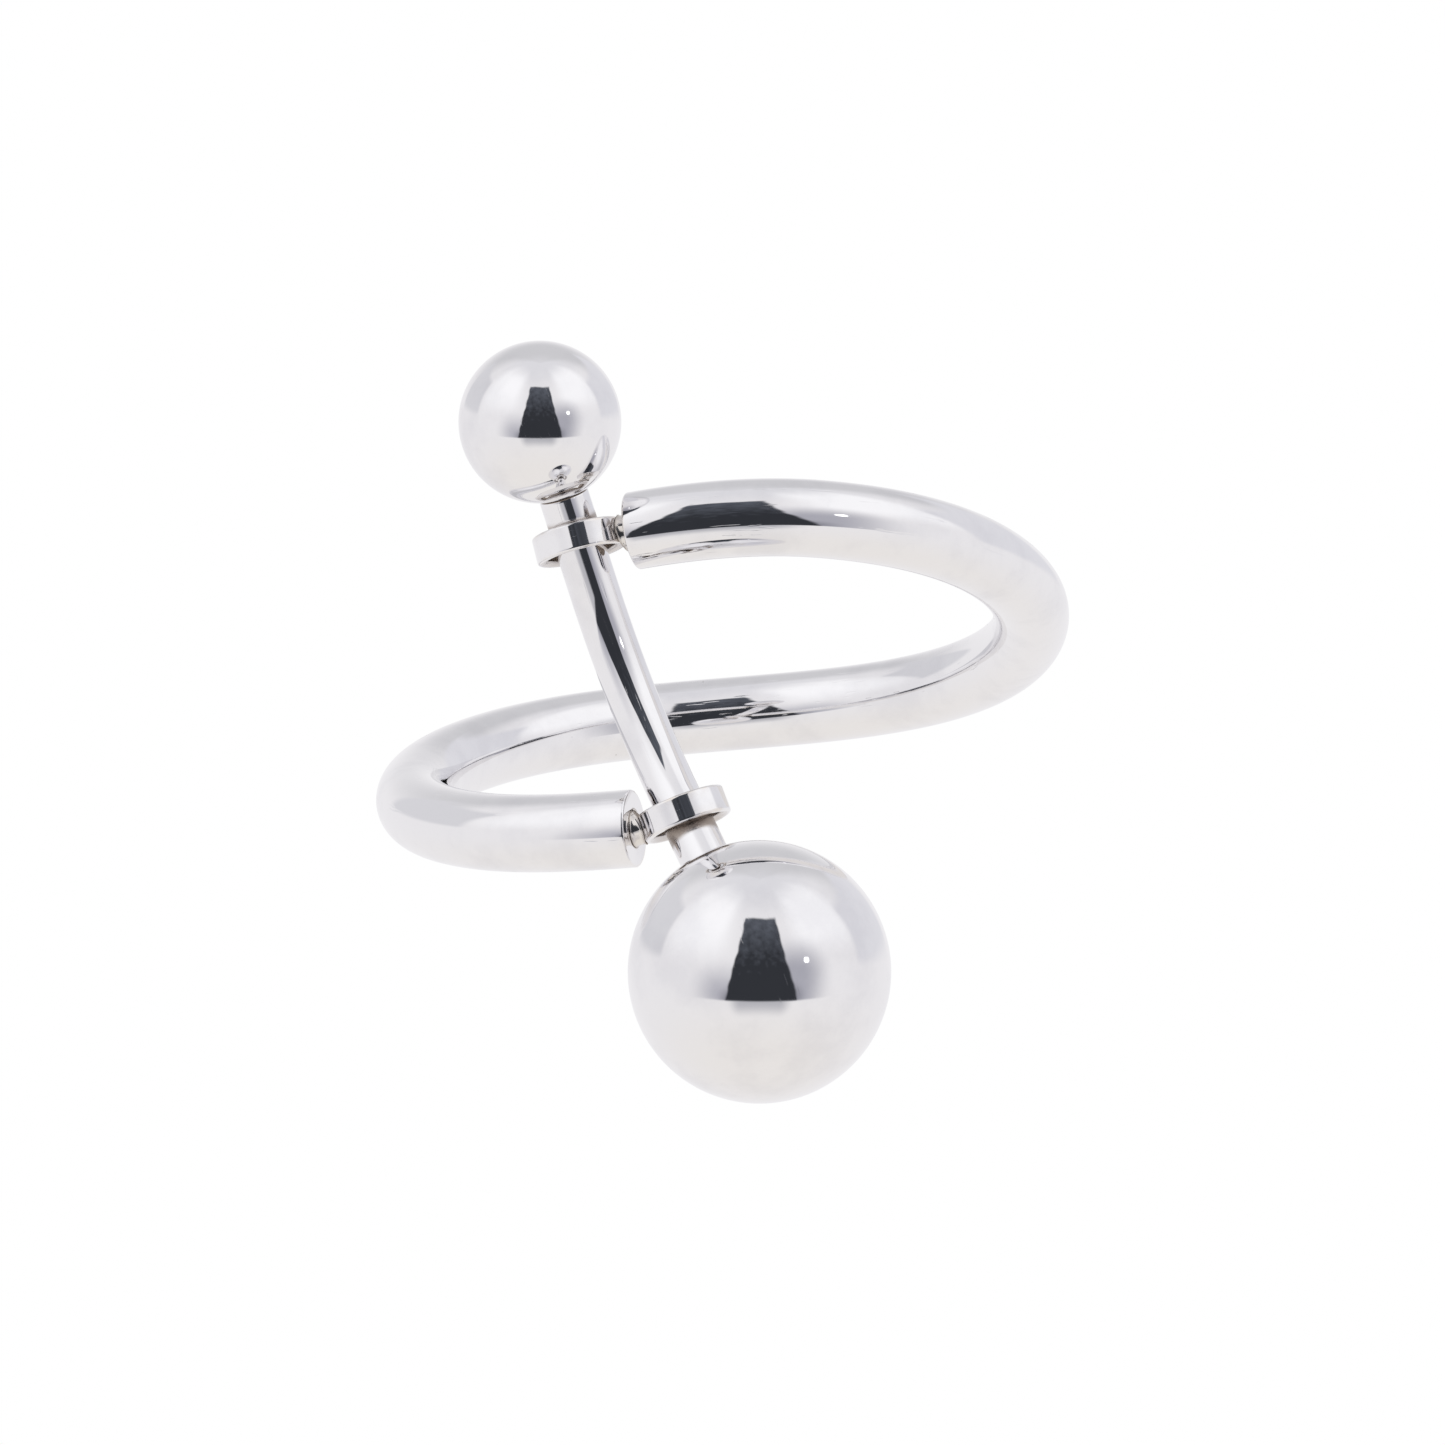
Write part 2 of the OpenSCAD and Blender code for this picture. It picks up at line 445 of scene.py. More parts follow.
    def relief(self, tree: Tree, place: Socket, hair: Socket, pit: Socket) -> Socket:
        """Raise the soft waves of hand polishing and sink the hairlines and pits.

        Args:
            tree: the material's nodes.
            place: point on the piece.
            hair: how far on a hairline the point is.
            pit: how deep in a pit the point is.

        Returns:
            The surface's direction.
        """
        grain = {"Vector": place, "Scale": 1 / (self.swell_mm * MM), "Detail": 1.0, "Roughness": 0.4}
        swell = add_node(tree, "TexNoise", grain)
        height: Any = 0.0
        for amount, size in ((swell, self.swell_um), (hair, -self.hair_um), (pit, -self.pit_um)):
            layer = {0: amount, 1: size * UM, 2: height}
            height = add_node(tree, "Math", layer, operation="MULTIPLY_ADD")
        bump = {"Height": height, "Strength": 1.0, "Distance": 1.0}
        return add_node(tree, "Bump", bump)


# Drawn round wire, buffed along its length: lines that fray the edge of a dark reflection, slow waves.
BUFFED_WIRE = PlatedFinish(
    "plated_buffed_wire", "band_metal", hair_mm=(1.4, 0.12), hair_um=3.0, swell_um=1.7
)
# Slim drawn bar, polished end to end: finer and shallower lines than the band's, hardly any waves.
POLISHED_BAR = PlatedFinish(
    "plated_drawn_bar", "bar_metal", hair_mm=(2.0, 0.09), hair_um=2.0, swell_um=1.0
)
# Small ring turned on a lathe, then polished: short lines round the bore.
TURNED_EYELET = PlatedFinish(
    "plated_turned_eyelet", "eyelet_metal", hair_mm=(0.05, 1.2), swell_um=0.7, cloud_mm=1.2
)
# Silver solder that flowed and froze, brightened with a brush: warmer, duller and dimpled.
BRIGHTENED_SOLDER = PlatedFinish(
    "plated_silver_solder",
    "peg_metal",
    tint="E8E4DF",
    cloudy_tint="D9D2CA",
    roughness=0.09,
    swell_mm=0.35,
    swell_um=0.6,
)
# Balls tumbled with steel shot: no lines to speak of, slight dimples, a few pits.
TUMBLED_SMALL_BALL = PlatedFinish(
    "plated_tumbled_small_ball", "small_ball_metal", hair_mm=(0.9, 0.05), swell_um=0.9
)
TUMBLED_LARGE_BALL = PlatedFinish(
    "plated_tumbled_large_ball", "large_ball_metal", hair_mm=(1.2, 0.05), swell_mm=1.5
)


def put_on(piece: bpy.types.Object, finish: PlatedFinish, body: Body, node: str) -> None:
    """Dress a piece, make it ride on its body and let it stand for its CAD node.

    Args:
        piece: the piece.
        finish: its finish.
        body: the body that it moves with.
        node: the CAD node that it stands for.
    """
    piece.data.materials.append(finish.make())
    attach(piece, body.value)
    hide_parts(node)
    faces = len(piece.data.polygons)
    log.info("%s: %d faces, %s, rides on %s", piece.name, faces, finish.name, body.value)


# ---- Ring ----


@dataclass
class WireLine:
    """Centre line of the band, one left-handed turn from the upper end to the lower end.

    Attributes:
        finger_d: inner diameter of the finger hole.
        wire_d: diameter of the round wire.
        rise: height that the wire climbs in one turn.
        wave_h: how far the wire swings above and below an even climb.
        wave_shift: angle past the front at which that swing starts.
        upper_nip: how far the upper end is pressed down.
        lower_nip: how far the lower end is pressed up.
        nip_span: stretch in degrees that each nip bends.
        upper_phi: angle of the upper wire end past the front.
        lower_phi: angle of the lower wire end.
    """

    finger_d: float = 17.4 * MM
    wire_d: float = 2.4 * MM
    rise: float = 9.73 * MM
    wave_h: float = 0.62 * MM
    wave_shift: float = 6.2
    upper_nip: float = 0.45 * MM
    lower_nip: float = 0.17 * MM
    nip_span: float = 35.0
    upper_phi: float = 1.2
    lower_phi: float = 359.2

    @property
    def radius(self) -> float:
        """Radius of the centre line around the finger."""
        return (self.finger_d + self.wire_d) / 2

    def climb(self, phi: float) -> float:
        """Give the height of the centre line before it is centred.

        Args:
            phi: angle past the front, in degrees.

        Returns:
            The height in metres.
        """
        even = self.rise / 2 * (180 - phi) / 180
        swing = self.wave_h * math.sin(math.radians(2 * (phi - self.wave_shift)))
        upper = self.upper_nip * max(0.0, 1 - phi / self.nip_span) ** 2
        lower = self.lower_nip * max(0.0, 1 - (360 - phi) / self.nip_span) ** 2
        return even + swing - upper + lower

    def point(self, phi: float) -> Vector:
        """Give the point of the centre line at an angle past the front."""
        middle = (self.climb(self.upper_phi) + self.climb(self.lower_phi)) / 2
        a = math.radians(phi)
        return Vector((self.radius * math.sin(a), -self.radius * math.cos(a), self.climb(phi) - middle))

    def end_phi(self, end: End) -> float:
        """Give the angle of a wire end past the front, in degrees."""
        return self.upper_phi if end is End.UPPER else self.lower_phi

    def axes(self, phi: float) -> tuple[Vector, Vector, Vector]:
        """Give the axes of a cross-section.

        Args:
            phi: angle past the front, in degrees.

        Returns:
            The direction of the wire towards its lower end, the outward side and the side across.
        """
        step = 0.01
        ahead = (self.point(phi + step) - self.point(phi - step)).normalized()
        a = math.radians(phi)
        across = ahead.cross(Vector((math.sin(a), -math.cos(a), 0))).normalized()
        return ahead, across.cross(ahead), across


@dataclass
class Eyelet:
    """Small turned ring that guides the bar.

    Attributes:
        end: the wire end that carries it.
        centre: its centre.
        tilt: its lean to the left and its lean to the rear at the top, in degrees.
        outer_d: outer diameter.
        bore: diameter of the bore.
        height: height along the bore.
        mouth_r: rounding at each mouth of the bore.
        edge_r: rounding of each outer edge.
        margin: distance past a rounding at which its wall is plain.
    """

    end: End
    centre: Vector
    tilt: Pair
    outer_d: float = 2.8 * MM
    bore: float = 2.15 * MM
    height: float = 0.85 * MM
    mouth_r: float = 0.16 * MM
    edge_r: float = 0.08 * MM
    margin: float = 0.02 * MM

    @property
    def place(self) -> Matrix:
        """Matrix of the eyelet's own frame, with z along its bore."""
        lean = Matrix.Rotation(math.radians(-self.tilt[0]), 4, "Y")
        back = Matrix.Rotation(math.radians(-self.tilt[1]), 4, "X")
        return Matrix.Translation(self.centre) @ lean @ back

    def profile(self) -> list[Corner]:
        """Walk round the eyelet's cross-section.

        Returns:
            The corners, from the middle of the outer wall over the top and back below.
        """
        half, wall, bore = self.height / 2, self.outer_d / 2, self.bore / 2
        edge = (wall - self.edge_r, half - self.edge_r)
        mouth = (bore + self.mouth_r, half - self.mouth_r)
        top = [(wall, 0.0, PLAIN), (wall, edge[1] - self.margin, SOFT_EDGE)]
        top += arc(edge, self.edge_r, 0, 90, 6, EDGE)
        # The mouth and the bore carry paste and painted shade.
        top += arc(mouth, self.mouth_r, 90, 180, 10, MOUTH)
        top += [(bore, mouth[1] - self.margin, HOLLOW), (bore, 0.0, HOLLOW)]
        return top + [(r, -z, wear) for r, z, wear in reversed(top[1:-1])]

    def build(self) -> None:
        """Turn the eyelet and dress it."""
        name = f"{self.end.name.lower()}_eyelet"
        rows = lathe_rows(self.profile(), self.place, TURNED_SIDES)
        piece = skin(f"turned_{name}", rows, self.outer_d / 2, True)
        put_on(piece, TURNED_EYELET, Body.RING, name)


@dataclass
class Post:
    """Soldered peg from a wire end to its eyelet, with a small fillet of solder at each side.

    Attributes:
        wire: the band's centre line.
        eyelet: the eyelet that it carries.
        diameter: diameter of the peg.
        depth: how far it goes into the wire end.
        solder_gap: gap that the solder fills.
        fillet: how much wider the solder spreads at each side.
        paste_and_shade: how much paste stays in the corner of each fillet, with painted shade there, from
            0 to 1.
        steps: rows along the solder.
        sides: corners round the peg.
    """

    wire: WireLine
    eyelet: Eyelet
    diameter: float = 1.1 * MM
    depth: float = 1.5 * MM
    solder_gap: float = 0.01 * MM
    fillet: float = 0.04 * MM
    paste_and_shade: float = 0.6
    steps: int = 14
    sides: int = 72

    def axes(self) -> tuple[Vector, Vector, Vector, Vector, Vector]:
        """Find the wire end and the peg's axes.

        Returns:
            The middle of the end face, its outward direction, the peg's direction and its two sides.
        """
        phi = self.wire.end_phi(self.eyelet.end)
        ahead, outward, _ = self.wire.axes(phi)
        end = self.wire.point(phi)
        face = -self.eyelet.end.value * ahead
        peg = (self.eyelet.centre - end).normalized()
        side = (outward - outward.dot(peg) * peg).normalized()
        return end, face, peg, side, peg.cross(side)

    def inside(self, share: float) -> Vector:
        """Give the point of the peg's axis at a share of its depth into the wire."""
        end, _, peg, _, _ = self.axes()
        return end - peg * self.depth * share

    def on_face(self, start: Vector, lift: float) -> Vector:
        """Slide a point along the peg to a plane over the wire's end face."""
        end, face, peg, _, _ = self.axes()
        return start + peg * ((lift - (start - end).dot(face)) / peg.dot(face))

    def on_eyelet(self, start: Vector) -> Vector:
        """Slide a point along the peg to the eyelet's outer wall.

        Args:
            start: a point on the near side of the eyelet.

        Returns:
            The point that the peg's solder reaches.
        """
        _, _, peg, _, _ = self.axes()
        axis = self.eyelet.place.col[2].to_3d()
        off = start - self.eyelet.centre
        off -= off.dot(axis) * axis
        run = peg - peg.dot(axis) * axis
        reach = self.eyelet.outer_d / 2 + self.solder_gap
        a, b, c = run.dot(run), 2 * run.dot(off), off.dot(off) - reach * reach
        return start + peg * ((-b - math.sqrt(b * b - 4 * a * c)) / (2 * a))

    def rows(self) -> list[Row]:
        """Lay out the peg, the solder and the saddle that fits the eyelet.

        Returns:
            The rows from the bottom of the blind hole to the middle of the saddle.
        """
        end, _, _, u, v = self.axes()
        radius = self.diameter / 2
        rows = []
        for share, depth in PEG_MARKS:
            middle, along = self.inside(depth), -self.depth * depth
            rows.append(circle_row(middle, u, v, radius * share, along, self.sides))
        for i in range(self.steps + 1):
            share = i / self.steps
            spread = (2 * share - 1) ** 4
            ring = circle_row(end, u, v, radius + self.fillet * spread, 0.0, self.sides).points
            starts = [self.on_face(p, self.solder_gap) for p in ring]
            stops = [self.on_eyelet(p) for p in ring]
            points = [a.lerp(b, share) for a, b in zip(starts, stops)]
            # Paste and painted shade gather towards the solder's two corners.
            rows.append(Row(points, share * MM, Wear(hollow=self.paste_and_shade * spread)))
        # The saddle against the eyelet carries paste and painted shade all over.
        for share in (0.98, 0.7, 0.35, 0.08):
            ring = circle_row(end, u, v, (radius + self.fillet) * share, 0.0, self.sides).points
            rows.append(Row([self.on_eyelet(p) for p in ring], MM, HOLLOW))
        return rows

    def build(self) -> None:
        """Build the peg with its solder and dress it."""
        name = f"{self.eyelet.end.name.lower()}_post"
        tips = (self.inside(1.0), self.on_eyelet(self.axes()[0]))
        piece = skin(f"soldered_{name}", self.rows(), self.diameter / 2, False, tips)
        put_on(piece, BRIGHTENED_SOLDER, Body.RING, name)


@dataclass
class SpiralBand:
    """Round wire, one turn around the finger, with flat-cut ends that hold the pegs.

    Attributes:
        wire: its centre line.
        posts: the two soldered pegs.
        edge_r: rounding of the cut ends.
        paste_and_shade_w: width of the ring of paste and painted shade round the peg on each end face.
        sides: corners round the wire.
        steps: rows along the wire.
    """

    wire: WireLine
    posts: tuple[Post, Post]
    edge_r: float = 0.07 * MM
    paste_and_shade_w: float = 0.02 * MM
    sides: int = 72
    steps: int = 320

    def end_rows(self, post: Post) -> list[Row]:
        """Lay out one cut end: the blind hole for the peg, the flat face and its rounded edge.

        Args:
            post: the peg that the end holds.

        Returns:
            The rows from the bottom of the hole to the full wire.
        """
        _, outward, across = self.wire.axes(self.wire.end_phi(post.eyelet.end))
        end, face, peg, _, _ = post.axes()
        hole = post.diameter / 2 + post.solder_gap
        u = (outward - outward.dot(peg) * peg).normalized()
        v = (across - across.dot(peg) * peg).normalized()
        rows = []
        for share, depth in HOLE_MARKS:
            rows.append(circle_row(post.inside(depth), u, v, hole * share, 0.0, self.sides))
        # A narrow ring of paste and painted shade lies round the peg on the end face.
        for extra, wear in ((0.0, HOLLOW), (self.paste_and_shade_w, HOLLOW), (4 * self.paste_and_shade_w, PLAIN)):
            ring = circle_row(end, u, v, hole + extra, 0.0, self.sides).points
            rows.append(Row([post.on_face(p, 0.0) for p in ring], 0.0, wear))
        flat = self.wire.wire_d / 2 - self.edge_r
        for inset in (0.25 * MM, 0.025 * MM):
            rows.append(circle_row(end, outward, across, flat - inset, 0.0, self.sides))
        for r, z, wear in arc((flat, -self.edge_r), self.edge_r, 90, 15, 5, EDGE):
            rows.append(circle_row(end + face * z, outward, across, r, 0.0, self.sides, wear))
        return rows

    def build(self) -> None:
        """Sweep the wire and dress it."""
        margin = math.degrees(self.edge_r / self.wire.radius)
        first, last = self.wire.upper_phi + margin, self.wire.lower_phi - margin
        radius = self.wire.wire_d / 2
        body = []
        for i in range(self.steps + 1):
            phi = first + (last - first) * i / self.steps
            _, outward, across = self.wire.axes(phi)
            along = math.radians(phi) * self.wire.radius
            wear = SOFT_EDGE if i in (0, self.steps) else PLAIN
            middle = self.wire.point(phi)
            body.append(circle_row(middle, outward, across, radius, along, self.sides, wear))
        upper, lower = (self.end_rows(post) for post in self.posts)
        for end_rows, nearest in ((upper, body[0]), (lower, body[-1])):
            for row in end_rows:
                row.along = nearest.along
        tips = tuple(post.inside(HOLE_MARKS[0][1]) for post in self.posts)
        rows = upper + body + lower[::-1]
        piece = skin("swept_spiral_band", rows, radius, False, tips)
        put_on(piece, BUFFED_WIRE, Body.RING, "spiral_band")


# ---- Bar and balls ----


@dataclass
class BarLine:
    """Centre line of the bar: a bend over its middle, straight at both ends.

    Attributes:
        middle: middle of the bar.
        lean: sideways lean in degrees, with its top to the left.
        turn: turn of the bend's plane about the bar, in degrees.
        bend_r: radius of the bend.
        bend_up: angle that it turns above the middle, in degrees.
        bend_down: angle that it turns below the middle, in degrees.
        bar_d: diameter of the bar.
    """

    middle: Vector
    lean: float = 19.7
    turn: float = 24.5
    bend_r: float = 9.7 * MM
    bend_up: float = 21.0
    bend_down: float = 20.5
    bar_d: float = 1.55 * MM

    def angle(self, s: float) -> float:
        """Angle turned at a distance along the bar, in radians."""
        return max(-math.radians(self.bend_down), min(math.radians(self.bend_up), s / self.bend_r))

    def place(self, s: float) -> Matrix:
        """Give the frame at a distance along the bar.

        Args:
            s: distance from the bar's middle, towards its top.

        Returns:
            The matrix with z along the bar and y away from the bend's centre.
        """
        a = self.angle(s)
        straight = s - a * self.bend_r
        y = -self.bend_r * (1 - math.cos(a)) - straight * math.sin(a)
        z = self.bend_r * math.sin(a) + straight * math.cos(a)
        lean = Matrix.Rotation(math.radians(-self.lean), 4, "Y")
        turn = Matrix.Rotation(math.radians(self.turn), 4, "Z")
        bar = Matrix.Translation(self.middle) @ lean @ turn
        return bar @ Matrix.Translation((0, y, z)) @ Matrix.Rotation(a, 4, "X")


@dataclass
class Ball:
    """Ball with a flat spot and a blind threaded bore for the bar.

    Attributes:
        end: the end of the bar that carries it.
        line: the bar's centre line.
        diameter: diameter of the ball.
        reach: distance along the bar from its middle to the ball's centre.
        gap: gap around the thread.
        thread_d: diameter of the bar's turned-down end.
        thread_l: length of that end.
        room: room in the bore past the thread's tip.
        spot_gap: how far the flat spot shows around the bar.
        chamfer: chamfer of the bore.
        mouth: depth of the bore's widened mouth.
        drill_point: how much deeper the drill's point goes in the middle.
    """

    end: End
    line: BarLine
    diameter: float
    reach: float
    gap: float
    thread_d: float = 1.2 * MM
    thread_l: float = 3.0 * MM
    room: float = 0.3 * MM
    spot_gap: float = 0.05 * MM
    chamfer: float = 0.03 * MM
    mouth: float = 0.1 * MM
    drill_point: float = 0.02 * MM

    @property
    def spot(self) -> float:
        """Radius of the flat spot."""
        return self.line.bar_d / 2 + self.spot_gap

    @property
    def seat(self) -> float:
        """Distance from the ball's centre to its flat spot."""
        return math.sqrt((self.diameter / 2) ** 2 - self.spot**2)

    @property
    def place(self) -> Matrix:
        """Matrix of the ball, with z along the bar and away from its middle."""
        at = self.line.place(self.end.value * self.reach)
        return at if self.end is End.UPPER else at @ Matrix.Rotation(math.pi, 4, "X")

    def profile(self) -> list[Corner]:
        """Walk along the ball's cross-section.

        Returns:
            The corners, from the bottom of the bore over the flat spot to the far pole.
        """
        ball_r, bore = self.diameter / 2, self.thread_d / 2 + self.gap
        bottom = self.thread_l + self.room - self.seat
        marks = (
            (0.9 * bore, bottom),
            (bore, bottom - self.chamfer),
            (bore, self.mouth - self.seat),
            (bore + self.chamfer, -self.seat),
            (self.spot - self.chamfer, -self.seat),
            (self.spot - self.chamfer / 3, -self.seat),
        )
        corners = [(radius, height, HOLLOW) for radius, height in marks]
        # The bore and the flat spot carry paste and painted shade, as does a narrow rim of the ball beside
        # the bar, and the rest is clean.
        start = math.degrees(math.asin((self.spot + 0.4 * self.chamfer) / ball_r)) - 90
        corners += arc((0.0, 0.0), ball_r, start, start + 0.6, 1, HOLLOW)
        return corners + arc((0.0, 0.0), ball_r, start + 2.0, 89.4, 110)

    def build(self, finish: PlatedFinish, body: Body, node: str) -> None:
        """Turn the ball and dress it.

        Args:
            finish: the ball's finish.
            body: the body that it moves with.
            node: the CAD node that it stands for.
        """
        profile = self.profile()
        ends = (profile[0][1] + self.drill_point, self.diameter / 2)
        tips = tuple(self.place @ Vector((0, 0, z)) for z in ends)
        rows = lathe_rows(profile, self.place, TURNED_SIDES)
        piece = skin(f"tumbled_{node}", rows, self.diameter / 2, False, tips)
        put_on(piece, finish, body, node)


@dataclass
class Bar:
    """Slim round bar with turned-down ends.

    Attributes:
        line: its centre line.
        upper: the ball screwed on its upper end.
        lower: the ball fixed to its lower end.
        shade_films: for each eyelet, where shade is painted on the bar beside it, a painted reflection of
            the eyelet's shaded underside, and half the width of that band.
        paste_and_shade: how strongly that painted shade, in the paste's colour, dulls and darkens the bar,
            from 0 to 1.
        seat_gap: gap between its shoulder and a ball's flat spot.
        chamfer: chamfer of its edges.
        margin: length at each shoulder before the even rows begin.
        steps: rows along the bar.
        sides: corners round the bar.
    """

    line: BarLine
    upper: Ball
    lower: Ball
    shade_films: tuple[Pair, ...] = ((5.75 * MM, 0.25 * MM), (-4.85 * MM, 0.3 * MM))
    paste_and_shade: float = 0.8
    seat_gap: float = 0.02 * MM
    chamfer: float = 0.04 * MM
    margin: float = 0.05 * MM
    steps: int = 160
    sides: int = 64

    def shade_film(self, s: float) -> float:
        """Say how strong the painted shade beside the eyelets is at a distance along the bar, from 0 to 1.
        """
        return max(max(0.0, min(1.0, 2.5 - 2 * abs(s - at) / half)) for at, half in self.shade_films)

    def row(self, s: float, radius: float) -> Row:
        """Place one row across the bar."""
        place = self.line.place(s)
        x, y = (place.col[i].to_3d() for i in range(2))
        # The bar is painted darker beside each eyelet in the paste's colour: painted shade standing for
        # the eyelet's shaded underside as the bar mirrors it.
        wear = Wear(hollow=self.paste_and_shade * self.shade_film(s))
        return circle_row(place.to_translation(), x, y, radius, s, self.sides, wear)

    def tip_rows(self, ball: Ball) -> list[Row]:
        """Lay out one turned-down end, from its tip to the bar's full width.

        Args:
            ball: the ball that it goes into.

        Returns:
            The rows.
        """
        way, bar, thread = ball.end.value, self.line.bar_d / 2, ball.thread_d / 2
        shoulder = way * (ball.reach - ball.seat - self.seat_gap)
        tip = shoulder + way * ball.thread_l
        step = way * self.chamfer
        marks = (
            (tip, thread - 2 * self.chamfer),
            (tip - 2 * step, thread),
            (shoulder + step, thread),
            (shoulder, thread + self.chamfer / 2),
            (shoulder, bar - self.chamfer),
            (shoulder - step, bar),
        )
        return [self.row(s, radius) for s, radius in marks]

    def build(self) -> None:
        """Sweep the bar and dress it."""
        radius = self.line.bar_d / 2
        lower, upper = self.tip_rows(self.lower), self.tip_rows(self.upper)
        first, last = lower[-1].along + self.margin, upper[-1].along - self.margin
        body = [self.row(first + (last - first) * i / self.steps, radius) for i in range(self.steps + 1)]
        tips = tuple(self.line.place(end[0].along).to_translation() for end in (lower, upper))
        piece = skin("drawn_bar", lower + body + upper[::-1], radius, False, tips)
        put_on(piece, POLISHED_BAR, Body.BAR, "bar")


# ---- Studio ----


@dataclass(frozen=True)
class SoftPatch:
    """A lit or shaded area of the light tent, as the ring sees it.

    Attributes:
        turn: degrees to the right of the tent's front.
        height: degrees above the tent's level.
        half_turn: half the width of its even middle, in degrees.
        half_height: half the height of its even middle, in degrees.
        edge: width of the soft edge round its middle, in degrees.
        colour: its colour.
        above_table: True where the edge of the white table cuts it off below.
        gain: brightness against the tent's cloth.
    """

    turn: float
    height: float
    half_turn: float
    half_height: float
    edge: float
    colour: str
    above_table: bool = False
    gain: float = 1.0

    def light(self) -> tuple[float, ...]:
        """Give its light, as the shaders read it."""
        return (*(self.gain * part for part in linear(self.colour)[:3]), 1.0)

    def mask(self, tree: Tree, turn: Socket, height: Socket) -> Socket:
        """Mark where the patch lies.

        Args:
            tree: the tent's nodes.
            turn: degrees to the right of the front.
            height: degrees above the level.

        Returns:
            0 outside to 1 inside.
        """
        aim = add_node(tree, "CombineXYZ", {0: turn, 1: height})
        steps = (
            ("SUBTRACT", {1: (self.turn, self.height, 0.0)}),
            ("WRAP", {1: (180.0, 180.0, 180.0), 2: (-180.0, -180.0, -180.0)}),
            ("ABSOLUTE", {}),
            ("SUBTRACT", {1: (self.half_turn, self.half_height, 0.0)}),
            ("MAXIMUM", {1: (0.0, 0.0, 0.0)}),
        )
        for operation, by in steps:
            aim = add_node(tree, "VectorMath", {0: aim, **by}, operation=operation)
        distance = add_node(tree, "VectorMath", {0: aim}, "Value", operation="LENGTH")
        ramp = {"Value": distance, "From Min": self.edge, "From Max": 0.0}
        return add_node(tree, "MapRange", ramp, **SMOOTH)


@dataclass(frozen=True)
class DarkCard:
    """Plain card covered with black cloth at the tent's front, tall and wider at the table.

    Attributes:
        turn: degrees from the tent's front to the card's middle.
        foot: height in degrees at which its outline starts.
        head: height at which the outline ends.
        outline: share of the way from foot to head and half the width there, in degrees.
        fray: how far folds of the cloth push the outline, in degrees.
        side_fade: how far inside the outline the cloth begins and is whole.
        top_fade: heights at which the cloth begins and is whole.
        dark: colour of the cloth in shade.
        lit: colour of the cloth where it catches light, towards the top.
        lit_heights: heights at which the cloth starts to catch light and is lit.
        folds: how far its folds shift those heights, in degrees.
    """

    turn: float = 1.0
    foot: float = -28.0
    head: float = 50.0
    outline: tuple[Pair, ...] = ((0.0, 34.5), (0.05, 33.5), (0.36, 26.0), (0.65, 20.5), (1.0, 18.0))
    fray: float = 4.0
    side_fade: Pair = (0.8, 3.2)
    top_fade: Pair = (48.5, 45.5)
    dark: str = "313338"
    lit: str = "5C6069"
    lit_heights: Pair = (38.0, 90.0)
    folds: float = 60.0

    def mask(self, tree: Tree, way: Socket, turn: Socket, height: Socket) -> Socket:
        """Mark where the card lies.

        Args:
            tree: the tent's nodes.
            way: direction from the ring.
            turn: degrees to the right of the front.
            height: degrees above the level.

        Returns:
            0 outside to 1 on the card.
        """
        ragged = add_node(tree, "TexNoise", {"Vector": way, "Scale": 5.0, "Detail": 1.0})
        climb = {"Value": height, "From Min": self.foot, "From Max": self.head}
        share = add_node(tree, "MapRange", climb)
        # The curve reads from 0 to 1, so it holds hundredths of the width.
        width = add_node(tree, "FloatCurve", {"Value": share})
        points = width.node.mapping.curves[0].points
        for at, half in self.outline[1:-1]:
            points.new(at, half / 100)
        for point, (at, half) in zip(points, self.outline):
            point.location = (at, half / 100)
        width.node.mapping.update()
        half = add_node(tree, "Math", {0: width, 1: 100.0}, operation="MULTIPLY")
        wide = add_node(tree, "Math", {0: ragged, 1: self.fray, 2: half}, operation="MULTIPLY_ADD")
        off = add_node(tree, "Math", {0: turn, 1: self.turn}, operation="SUBTRACT")
        size = add_node(tree, "Math", {0: off}, operation="ABSOLUTE")
        room = add_node(tree, "Math", {0: wide, 1: size}, operation="SUBTRACT")
        top = add_node(tree, "Math", {0: ragged, 1: -self.fray, 2: height}, operation="MULTIPLY_ADD")
        inside: Any = 1.0
        for value, (start, end) in ((room, self.side_fade), (top, self.top_fade)):
            ramp = {"Value": value, "From Min": start, "From Max": end}
            part = add_node(tree, "MapRange", ramp, **SMOOTH)
            inside = add_node(tree, "Math", {0: part, 1: inside}, operation="MULTIPLY")
        return inside

    def cloth(self, tree: Tree, way: Socket, height: Socket) -> Socket:
        """Colour the cloth, which catches a little more light at the top.

        Args:
            tree: the tent's nodes.
            way: direction from the ring.
            height: degrees above the level.

        Returns:
            The colour.
        """
        fold = add_node(tree, "TexNoise", {"Vector": way, "Scale": 12.0, "Detail": 4.0})
        uneven = add_node(tree, "Math", {0: fold, 1: self.folds, 2: height}, operation="MULTIPLY_ADD")
        ramp = {"Value": uneven, "From Min": self.lit_heights[0], "From Max": self.lit_heights[1]}
        amount = add_node(tree, "MapRange", ramp)
        return add_node(tree, "Mix", {0: amount, 6: linear(self.dark), 7: linear(self.lit)}, **COLOUR)


